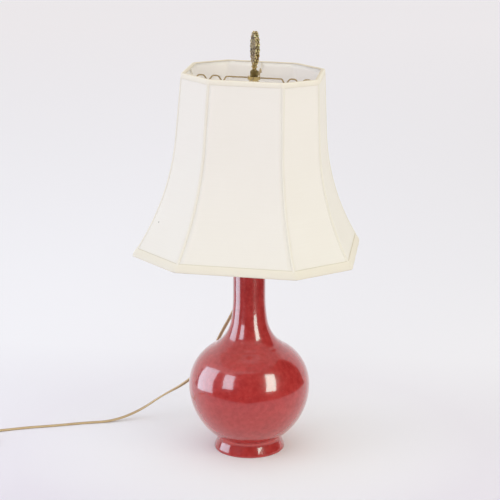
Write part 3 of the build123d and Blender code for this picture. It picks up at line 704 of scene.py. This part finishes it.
# %% Shade panels
shade_top = 0.5862
shade_bottom = 0.3182
shade_knee = 0.4922
top_half = 0.0995
knee_half = 0.1055
bottom_half = 0.1614
corner_ratio = 0.538
corner_reach = (1 + corner_ratio) / math.sqrt(2)
rib_reach = math.hypot(1, corner_ratio)
long_sector = math.atan(corner_ratio)
corner_sector = math.pi / 4 - long_sector
side_names = ("right", "back_right", "back", "back_left", "left", "front_left", "front", "front_right")
side_kinds = ((1.0, long_sector), (corner_reach, corner_sector))
sides = [(k * math.pi / 4, *side_kinds[k % 2]) for k in range(8)]
rib_angles = [k * math.pi / 2 + hand * long_sector for k in range(4) for hand in (-1, 1)]
flare_arc, _ = tangent_arc((knee_half, shade_knee), (bottom_half, shade_bottom),
                           (knee_half - top_half, shade_knee - shade_top), 200)


def bell_half(height):
    """Half width of a long side at this height."""
    if height >= shade_knee:
        return top_half + (knee_half - top_half) * (shade_top - height) / (shade_top - shade_knee)
    upper = next(k for k, point in enumerate(flare_arc) if point.y <= height + 1e-9)
    before, after = flare_arc[max(upper - 1, 0)], flare_arc[upper]
    share = (before.y - height) / max(before.y - after.y, 1e-9)
    return before.x + (after.x - before.x) * share


panel_steps_down = 44
panel_steps_across = 16
panel_thick = 0.0007
panel_draw = 0.0009
panel_gap = 0.0002
panel_under_tape = 0.0010
slub_length = 18.0
speck_place = (-0.1229, -0.0825, 0.3745)
speck_radius = 0.0007


def panel_mesh(name, angle, reach, sector):
    """The outer face of one side, drawn in a little between its ribs."""
    out = around(angle)
    aside = around(angle + math.pi / 2)
    top = shade_top - panel_under_tape
    rows = []
    for i, height in enumerate(spaced(top, shade_bottom, panel_steps_down)):
        half = bell_half(height) * reach
        edge = half * math.tan(sector) - panel_gap
        sag = math.sin(math.pi * i / panel_steps_down) * panel_draw
        row = []
        for share in spaced(-1, 1, panel_steps_across):
            inward = sag * (1 - share * share)
            row.append(lean @ (out * (half - inward) + aside * edge * share + Vector((0, 0, height))))
        rows.append(row)
    return lofted(name, rows)


def woven(name, pale, deep, thread, closeness):
    """Cloth that follows a piece's flat map: two threads that cross, thick and thin places, old stains."""
    finish = Finish(name, roughness=0.85, sheen_weight=0.15, sheen_roughness=0.5, specular_ior_level=0.2)
    flat = finish.flat_map()
    threads = []
    for way, packing in (("X", 1.08 * closeness), ("Y", closeness)):
        sockets = {"Vector": flat, "Scale": packing, "Distortion": 1.1, "Detail": 2.0}
        threads.append(finish.node("TexWave", {"bands_direction": way}, sockets))
    weave = threads[0] * 0.5 + threads[1] * 0.5
    drawn_out = finish.node("Mapping", None, {"Vector": flat, "Scale": (slub_length, closeness, 1)})
    slub = finish.noise(1.0, drawn_out, 4.0)
    tone = finish.mix(finish.noise(14.0, detail=4.0), srgb(*deep), srgb(*pale))
    tone = finish.mix(slub * 0.2 + weave * 0.1, tone, srgb(*thread))
    finish.set(base_color=tone)
    finish.bump(weave * 0.5 + slub * 0.5, 0.00012, 0.5)
    return finish, tone


shade_cloth, shade_tone = woven("ivory_cloth", (239, 237, 230), (234, 231, 222), (223, 217, 204), 520.0)
# Painted light: the cloth is painted lighter towards the top.
painted_light_at_top = shade_cloth.fade(shade_cloth.along(2), shade_bottom, shade_knee, 0.25)
shade_tone = shade_cloth.mix(painted_light_at_top, shade_tone, srgb(250, 247, 240))
speck = shade_cloth.fade(shade_cloth.away(speck_place), 2 * speck_radius, speck_radius, 0.7)
shade_cloth.set(base_color=shade_cloth.mix(speck, shade_tone, srgb(92, 84, 72)))


def thicken(cloth, thick, offset):
    """Give a sheet its thickness: offset -1 puts it all inside, 0 puts half on each side."""
    layer = cloth.modifiers.new("cloth_thickness", "SOLIDIFY")
    layer.thickness = thick
    layer.offset = offset


panels = []
for name, (angle, reach, sector) in zip(side_names, sides):
    label = "cloth_panel_" + name
    mesh = panel_mesh(label, angle, reach, sector)
    panel = settle(label, mesh, shade_cloth, "shade", "shade_fabric", "shade_panel_" + name)
    thicken(panel, panel_thick, -1)
    panels.append(panel)

# %% [markdown]
# Inside the frame hangs a lining of thin pale cloth. It is one loft round the bell, a few millimetres
# inside the cover, with a short slit at the top where each arm of the spider comes through. Its plan is the
# same eight sides with the corners a little soft, because thin cloth can't turn a sharp corner over a wire.
# A sum of high powers does that: it follows whichever side is nearest and rounds off where two are equally
# near.

# %% Lining
corner_hardness = 90
lining_inset = 0.00483
lining_thick = 0.0004
slit_half = 0.0003
slit_depth = 0.0160
slit_rows = 2
quarter_columns = 46
lining_steps_down = 40
lining_slack = 0.0008
lining_ripples = 11


def plan_reach(turn):
    """How far the soft eight-sided plan stands out this way, against a long side's half width."""
    total = 0.0
    for angle, reach, _ in sides:
        total += max(0.0, math.cos(turn - angle) / reach) ** corner_hardness
    return total ** (-1 / corner_hardness)


def shade_point(turn, half, height):
    """A point of the leaning shade."""
    return lean @ around(turn, plan_reach(turn) * half, height)


slit_turn = slit_half / (top_half - lining_inset)
quarter_turns = spaced(slit_turn, math.pi / 2 - slit_turn, quarter_columns - 1)
lining_turns = [quarter * math.pi / 2 + turn for quarter in range(4) for turn in quarter_turns]
lining_top = shade_top - panel_under_tape
slit_end = lining_top - slit_depth
lining_heights = spaced(lining_top, slit_end, slit_rows)
lining_heights += spaced(slit_end, shade_bottom, lining_steps_down)[1:]
lining_rows = []
for height in lining_heights:
    hang = math.sin(math.pi * (shade_top - height) / (shade_top - shade_bottom))
    row = []
    for turn in lining_turns:
        ripple = 0.5 + 0.5 * math.sin(lining_ripples * turn + 2 * math.sin(3 * turn))
        row.append(shade_point(turn, bell_half(height) - lining_inset - lining_slack * hang * ripple, height))
    lining_rows.append(row)
lining_mesh = lofted("lining", lining_rows, ring=True)
cut = bmesh.new()
cut.from_mesh(lining_mesh)
columns = len(lining_turns)
slit_faces = []
for face in cut.faces:
    places = [divmod(vertex.index, columns) for vertex in face.verts]
    between_quarters = {column % quarter_columns for _, column in places} == {0, quarter_columns - 1}
    if between_quarters and max(row for row, _ in places) <= slit_rows:
        slit_faces.append(face)
bmesh.ops.delete(cut, geom=slit_faces, context="FACES")
cut.to_mesh(lining_mesh)
cut.free()

lining_cloth, _ = woven("lining_cloth", (251, 249, 247), (247, 244, 240), (241, 237, 230), 700.0)
lining = settle("lining", lining_mesh, lining_cloth, "shade", "lining_fabric", "shade_lining", sharp=60)
thicken(lining, lining_thick, 0)
print("lining has", len(slit_faces), "faces cut out for the arms")

# %% [markdown]
# A folded bias tape finishes the top and bottom edges. It lies on the outside of the panels, turns over the
# edge in a soft roll and runs across the ring to the lining. Its section is drawn as a thin hooked strip
# and carried round the eight sides. The tape is a shade yellower than the panels. Light and shade are
# painted on it: the top tape is painted lighter and the bottom one darker, a fine grey line of painted shade
# runs along its folded edge, and it is tan with painted shade where it turns in. The flat map finds both
# lines as distances from its outer edge.

# %% Edge tapes
tape_thick = 0.0007
tape_columns = 288
tape_inner = 0.0058
tape_fold = 0.0014
tape_wavers = ((0.00012, 23, 0), (0.0001, 41, 1))
tape_pale = (238, 234, 221)
tape_deep = (233, 228, 213)
tape_thread = (222, 213, 193)
top_depth = 0.0074
bottom_depth = 0.0118


def tape_section(edge, depth, grow, stand, puff):
    """Offsets outwards and heights of a tape that hooks over an edge: grow is 1 at the top, -1 below."""
    crown = stand + puff
    face = [(stand / 2, -depth), (stand, -0.94 * depth), (crown, -0.6 * depth), (crown, -0.25 * depth)]
    roll = [(stand, -tape_thick), (0.7 * stand, -0.0002), (-tape_thick, 0.0)]
    turned_in = [(-0.8 * tape_inner, -0.0001), (-0.95 * tape_inner, -0.0004), (-tape_inner, -0.0009)]
    outside = face + roll + turned_in
    inside = []
    for k, (out, high) in enumerate(outside):
        before, after = outside[max(k - 1, 0)], outside[min(k + 1, len(outside) - 1)]
        along = Vector((after[0] - before[0], after[1] - before[1])).normalized()
        inside.append((out - along.y * tape_thick, high + along.x * tape_thick))
    return [(out, edge + grow * high) for out, high in outside + inside[::-1]]


def tape_mesh(name, section):
    rows = []
    for turn in even_turns(tape_columns):
        wobble = sum(size * math.sin(count * turn + start) for size, count, start in tape_wavers)
        row = []
        for out, height in section:
            held = bell_half(min(max(height, shade_bottom), shade_top))
            row.append(shade_point(turn, held + out + wobble, height))
        rows.append(row)
    return lofted(name, rows, ring=True, loop=True)


def tint_across(finish, tone, start, end, share, tint):
    """Tint a woven finish from one distance across its flat map to another, given in metres."""
    across = finish.along(0, finish.flat_map())
    tone = finish.mix(finish.fade(across, start, end, share), tone, tint)
    finish.set(base_color=tone)
    return tone


def edge_tape(side, edge, depth, grow, stand, puff, line, painted_light_shift):
    """One tape: how far it stands off and puffs out, how strong its painted fold shade is, and its painted
    light shift.
    """
    label = side + "_tape"
    # Painted light and shade: the top tape is painted lighter and the bottom one darker.
    pale = [level + painted_light_shift for level in tape_pale]
    deep = [level + painted_light_shift for level in tape_deep]
    cloth, tone = woven(label + "_cloth", pale, deep, tape_thread, 420.0)
    # Painted shade: a fine grey line along the folded edge, where the tape meets the panel.
    tone = tint_across(cloth, tone, tape_fold, tape_fold / 2, line, srgb(176, 166, 142))
    # Painted shade: tan where the tape turns in under the rim.
    tint_across(cloth, tone, depth + tape_thick, depth + 4 * tape_thick, 0.45, srgb(196, 176, 142))
    mesh = tape_mesh(label, tape_section(edge, depth, grow, stand, puff))
    settle(label, mesh, cloth, "shade", "trim_fabric", f"shade_{side}_band", sharp=60)


edge_tape("top", shade_top, top_depth, 1, stand=0.0006, puff=0.0002, line=0.04, painted_light_shift=5)
edge_tape("bottom", shade_bottom, bottom_depth, -1, stand=0.0010, puff=0.0008, line=0.40, painted_light_shift=-3)

# %% [markdown]
# A narrow strip of the same cloth covers each seam, from the top tape to the bottom tape. Its edges are
# folded under, so each side shows as a fine line. Eight strips are lofted down the eight ribs. A rib is a
# corner between a long side and a narrow one, so a strip slopes off by one angle on the left and another on
# the right. The eight are joined into one piece.


# %% Seam strips
def joined(name, meshes):
    """Put several meshes into one."""
    build = bmesh.new()
    for mesh in meshes:
        build.from_mesh(mesh)
        bpy.data.meshes.remove(mesh)
    return to_mesh(name, build)


strip_half = 0.0021
strip_crown = 0.0007
strip_edge = 0.0005
strip_under = 0.0003
strip_steps = 48
strip_lap = 0.8
strip_top = shade_top - strip_lap * top_depth
strip_bottom = shade_bottom + strip_lap * bottom_depth
strip_heights = spaced(strip_top, strip_bottom, strip_steps)
strip_over = [(share, strip_crown) for share in (-0.6, 0.0, 0.6)]
strip_section = [(-1.0, strip_edge)] + strip_over + [(1.0, strip_edge)]
strip_section += [(share, -strip_under) for share in (1.0, 0.0, -1.0)]
strip_cloth, _ = woven("strip_cloth", (239, 236, 225), (234, 230, 217), (223, 216, 199), 420.0)
strips = []
for number, angle in enumerate(rib_angles):
    slopes = (long_sector, corner_sector) if number % 2 else (corner_sector, long_sector)
    out = around(angle)
    aside = around(angle + math.pi / 2)
    path = [around(angle, bell_half(height) * rib_reach, height) for height in strip_heights]
    rows = []
    for place, heading in zip(path, headings(path)):
        lift = aside.cross(heading)
        lift = lift if lift.dot(out) > 0 else -lift
        row = []
        for share, rise in strip_section:
            drop = abs(share) * math.tan(slopes[0] if share < 0 else slopes[1])
            row.append(lean @ (place + aside * strip_half * share + lift * (rise - strip_half * drop)))
        rows.append(row)
    strips.append(lofted("strip", rows, ring=True, capped=True))
strips_mesh = joined("seam_strips", strips)
settle("seam_strips", strips_mesh, strip_cloth, "shade", "trim_fabric", "shade_piping", sharp=60)

# %% [markdown]
# The finial is cast brass: a knurled base that screws on the stud, a leafy neck and a pierced round
# medallion, made of a scalloped rim, scrolls, leaves and a flower. On a casting these flow into each other.
# Here each motif is a small closed form, and many of them overlap into one piece, on both faces of the rim.

# %% Finial
finial_low = 0.5789
finial_base_top = 0.5875
medallion_height = 0.6194
medallion_radius = 0.0255
medallion_turn = math.radians(107)
flat_way = around(medallion_turn)
face_way = Vector((flat_way.y, -flat_way.x, 0))
medallion = Matrix.Translation((0, 0, medallion_height)) @ Matrix((
    (flat_way.x, 0, face_way.x, 0), (flat_way.y, 0, face_way.y, 0), (0, 1, 0, 0), (0, 0, 0, 1),
))


def knob(place, size, turn=0.0):
    """A rounded motif on the medallion: its place and its half sizes across, up and through."""
    build = bmesh.new()
    shape = Matrix.Translation(place) @ Matrix.Rotation(turn, 4, "Z") @ Matrix.Diagonal((*size, 1))
    bmesh.ops.create_icosphere(build, subdivisions=2, radius=1.0, matrix=lean @ medallion @ shape)
    return to_mesh("knob", build)


def wire(path, radius, loop=False, taper=0.0):
    """A round wire along a path on the medallion, which may thin out towards its end."""
    rows = []
    travel = headings(path, loop)
    side = travel[0].orthogonal().normalized()
    for number, (point, heading) in enumerate(zip(path, travel)):
        side = (side - heading * side.dot(heading)).normalized()
        other = heading.cross(side)
        thick = radius * (1 - taper * number / len(path))
        row = []
        for turn in even_turns(wire_sides):
            out = side * math.cos(turn) + other * math.sin(turn)
            row.append(lean @ medallion @ (point + out * thick))
        rows.append(row)
    return lofted("wire", rows, ring=True, loop=loop, capped=not loop)


wire_sides = 8
lobes = 18
scrolls = 6
rim_radius = 0.0204
rim_wire = 0.0014
rim_steps = 96
web_radius = 0.02114075
web_wire = 0.0020
face_rise = 0.0018
lobe_half = 0.0032
lobe_side = 0.0017
lobe_size = (lobe_half, 0.9 * lobe_half, 1.1 * lobe_side)
bead_out = 0.0005
bead_rise = 1.3 * face_rise
bead_size = (0.0011, 0.0011, 0.0011)
scroll_reach = 0.0137
scroll_size = 0.0050
scroll_turns = 1.7
scroll_close = 0.78
scroll_wire = 0.00105
scroll_points = 36
eye_rise = 1.25 * face_rise
eye_size = (0.0013, 0.0013, 0.0013)
leaf_sizes = ((0.0166, 0.0034), (0.0118, 0.0026), (0.0078, 0.0020))
leaf_slim = 0.42
leaf_tilt = 0.5
leaf_spread = 0.9
leaf_thick = 0.0012
petal_reach = 0.0042
petal_rise = 1.1 * face_rise
petal_size = (0.0028, 0.0017, 0.0016)
centre_rise = 1.35 * face_rise
centre_size = (0.0022, 0.0022, 0.0016)
rim_wear_and_highlight_from = 0.0195
full_flute = 0.003

ornament = []
rims = ((-face_rise, rim_wire, rim_radius), (0.0, web_wire, web_radius), (face_rise, rim_wire, rim_radius))
for rise, thick, radius in rims:
    rim_path = [around(turn, radius, rise) for turn in even_turns(rim_steps)]
    ornament.append(wire(rim_path, thick, loop=True))
for turn in even_turns(lobes):
    for hand in (-1, 1):
        lobe = around(turn, medallion_radius - lobe_half, hand * lobe_side)
        bead = around(turn + math.pi / lobes, rim_radius + bead_out, hand * bead_rise)
        ornament += [knob(lobe, lobe_size, turn), knob(bead, bead_size)]
for hand in (-1, 1):
    for turn in even_turns(scrolls):
        curl = []
        for share in spaced(0, 1, scroll_points):
            swing = turn + hand * (math.pi / 2 + 2 * math.pi * scroll_turns * share)
            reach = scroll_size * (1 - scroll_close * share)
            rise = hand * face_rise * (0.75 + 0.5 * share)
            curl.append(around(turn, scroll_reach) + around(swing, reach, rise))
        ornament.append(wire(curl, scroll_wire, taper=0.3))
        ornament.append(knob(around(turn, scroll_reach, hand * eye_rise), eye_size))
        leaf_turn = turn + math.pi / scrolls
        for reach, size in leaf_sizes:
            for tilt in (-leaf_tilt, leaf_tilt):
                leaf = around(leaf_turn, reach, hand * face_rise)
                leaf += around(leaf_turn + math.pi / 2, tilt * size * leaf_spread)
                ornament.append(knob(leaf, (size, size * leaf_slim, leaf_thick), leaf_turn + tilt))
        petal = around(leaf_turn, petal_reach, hand * petal_rise)
        ornament.append(knob(petal, petal_size, leaf_turn))
    ornament.append(knob(Vector((0, 0, hand * centre_rise)), centre_size))


def turned(name, foot, profile, flutes, depth, steps):
    """A leaning turned piece that stands at a height and whose radius rises and falls round it."""
    rows = []
    for radius, height in profile:
        row = []
        for turn in even_turns(steps):
            flute = depth * math.cos(flutes * turn) * min(1.0, radius / full_flute)
            row.append(lean @ around(turn, max(radius + flute, 0.0), foot + height))
        rows.append(row)
    return lofted(name, rows, ring=True, capped=True)


neck_profile = [
    (0.0036, 0.0), (0.0029, 0.0012), (0.0026, 0.0024), (0.0030, 0.0032),
    (0.0040, 0.0041), (0.0043, 0.0050), (0.0039, 0.0060), (0.0031, 0.0070),
    (0.0033, 0.0084), (0.0040, 0.0098), (0.0035, 0.0114), (0.0020, 0.0126),
]
ornament.append(turned("neck", finial_base_top, neck_profile, 8, 0.0003, 96))

antique = Finish("antique_brass", metallic=0.75)
hollows = antique.node("AmbientOcclusion", {"samples": 8}, {"Distance": 0.005}, 1)
tarnish = antique.ramp(antique.noise(380.0, detail=2.0), (0.38, 0.0), (0.60, 1.0))
rubbed = antique.ramp(hollows, (0.25, 0.0), (0.75, 1.0))
# The rim is painted paler brass, partly wear from handling and partly a painted highlight.
rim_wear_and_highlight = antique.fade(antique.away(lean @ medallion.translation), rim_wear_and_highlight_from, medallion_radius)
patina = antique.mix(tarnish, srgb(74, 58, 38), srgb(208, 186, 150))
bright = antique.mix(tarnish, srgb(150, 114, 48), srgb(252, 232, 172))
antique.set(base_color=antique.mix(rubbed, srgb(34, 26, 18), antique.mix(rim_wear_and_highlight, patina, bright)))
antique.set(roughness=0.5 - 0.22 * rubbed + 0.1 * tarnish)
antique.bump(tarnish, 0.00015, 0.5)
casting_mesh = joined("finial_casting", ornament)
settle("finial_casting", casting_mesh, antique, "finial", "finial_metal", "finial_ornament", sharp=60)

base_profile = [
    (0.0050, 0.0), (0.0055, 0.0003), (0.0056, 0.0008), (0.0056, 0.0016),
    (0.0053, 0.0019), (0.0053, 0.0023), (0.0056, 0.0027), (0.0056, 0.0058),
    (0.0053, 0.0061), (0.0053, 0.0064), (0.0055, 0.0067), (0.0050, 0.0074),
    (0.0043, 0.0081), (0.0035, 0.0086),
]
dark_brass = Finish("dark_brass", metallic=1.0)
dull = dark_brass.noise(180.0, detail=4.0)
dark_brass.set(base_color=dark_brass.mix(dull, srgb(150, 130, 84), srgb(204, 180, 124)))
dark_brass.set(roughness=0.36 + 0.2 * dull)
dark_brass.bump(dull, 0.0001, 0.4)
knurl_mesh = turned("finial_knurl", finial_low, base_profile, 20, 0.0004, 240)
settle("finial_knurl", knurl_mesh, dark_brass, "finial", "finial_metal", "finial_base", sharp=40)

# %% [markdown]
# The fittings are rigid and keep the shapes they have: the brass cap, saddle, harp, socket and spider, the
# bulb, the knob, the plug and the small parts out of sight. Each slot of the record gets one finish.
# Handled metal and moulded plastic wear in the same way, in fine patches that are paler and rougher or
# darker and smoother, so one function makes them all from two tones, a gloss and the size of the patches.


# %% Fittings
def worn(name, deep, pale, rough, grain, **constants):
    """A finish whose tone, gloss and surface follow one fine pattern of wear."""
    finish = Finish(name, **constants)
    wear = finish.noise(grain, detail=4.0)
    finish.set(base_color=finish.mix(wear, srgb(*deep), srgb(*pale)), roughness=rough + 0.16 * wear)
    finish.bump(wear, 0.00006, 0.4)
    return finish


fittings = {
    "brass": worn("aged_brass", (192, 168, 108), (234, 214, 158), 0.14, 320.0, metallic=1.0),
    "frame_wire": worn("coated_wire", (146, 116, 66), (200, 168, 108), 0.24, 420.0, metallic=1.0),
    "blade_metal": worn("bright_brass", (206, 176, 108), (238, 212, 148), 0.14, 600.0, metallic=1.0),
    "bulb_metal": worn("rolled_metal", (192, 192, 188), (232, 232, 228), 0.18, 520.0, metallic=1.0),
    "bulb_glass": worn("frosted_glass", (238, 236, 229), (250, 248, 243), 0.30, 240.0, coat_weight=0.3),
    "knob_plastic": worn("brown_moulding", (40, 29, 25), (68, 50, 42), 0.22, 260.0, coat_weight=0.4),
    "core_plastic": worn("black_moulding", (30, 28, 27), (54, 50, 48), 0.34, 260.0),
    "stopper_rubber": worn("black_rubber", (36, 34, 32), (60, 57, 54), 0.60, 500.0),
    "liner_card": worn("brown_card", (152, 120, 86), (188, 154, 114), 0.75, 700.0),
    "lead_insulation": worn("lead_cover", (176, 148, 100), (206, 180, 132), 0.34, 340.0),
    "tie_plastic": worn("black_tie", (28, 28, 29), (54, 54, 56), 0.40, 380.0),
    "cord_plastic": cord_gold,
}
dressed = []
for name, node in frame["nodes"].items():
    for material_slot in node.material_slots:
        slot_name = material_slot.material.name.split(".")[0]
        if slot_name in fittings:
            material_slot.material = fittings[slot_name].material
            dressed.append(name)
print("finished", len(dressed), "fittings:", ", ".join(dressed))

# %% [markdown]
# The spider's arms are brassed wire, but where they bend up to the ring they are bound in lining cloth,
# which is how a shade maker neatens the slits. The binding is painted darker than the lining's own cloth, as
# painted shade inside the shade. The binding starts at a distance from the lamp's axis, so the finish
# measures that distance and changes from metal to cloth there.

# %% Spider arms
binding_from = 0.0870
binding_edge = 0.0006
arms = Finish("bound_wire")
arm_wear = arms.noise(420.0, detail=4.0)
arm_middle = (lean @ Vector((0, 0, shade_top))) * Vector((1, 1, 0))
arm_reach = arms.away(arm_middle, arms.place((1, 1, 0)))
bound = arms.fade(arm_reach, binding_from, binding_from + binding_edge)
arm_brass = arms.mix(arm_wear, srgb(158, 136, 98), srgb(212, 190, 146))
# Painted shade: the binding is darker than the lining's own cloth, the tone the lining has in the shade
# inside.
arms.set(base_color=arms.mix(bound, arm_brass, srgb(230, 224, 213)))
arms.set(metallic=0.6 - 0.6 * bound, roughness=0.26 + 0.1 * arm_wear + 0.5 * bound)
arms.bump(arm_wear, 0.00008, 0.4)
frame["nodes"]["spider_arms"].material_slots[0].material = arms.material
print("spider arms are bound at their ends")

# %% [markdown]
# Last, the flat sizes of the soft pieces are worked out. Each panel was cut flat, as wide as its bottom
# edge, and the outline of a side is traced down the bell. The lining was cut in one: its width round the
# hem and its drop are measured.

# %% Flat sizes of the soft pieces
drop_steps = 268
side_line = [(bell_half(height), height) for height in spaced(shade_top, shade_bottom, drop_steps)]
for panel, (angle, reach, sector) in zip(panels, sides):
    panel_wide = 2 * bottom_half * reach * math.tan(sector)
lining_wide = length_of(lining_rows[-1] + lining_rows[-1][:1])
lining_drop = length_of([row[0] for row in lining_rows])
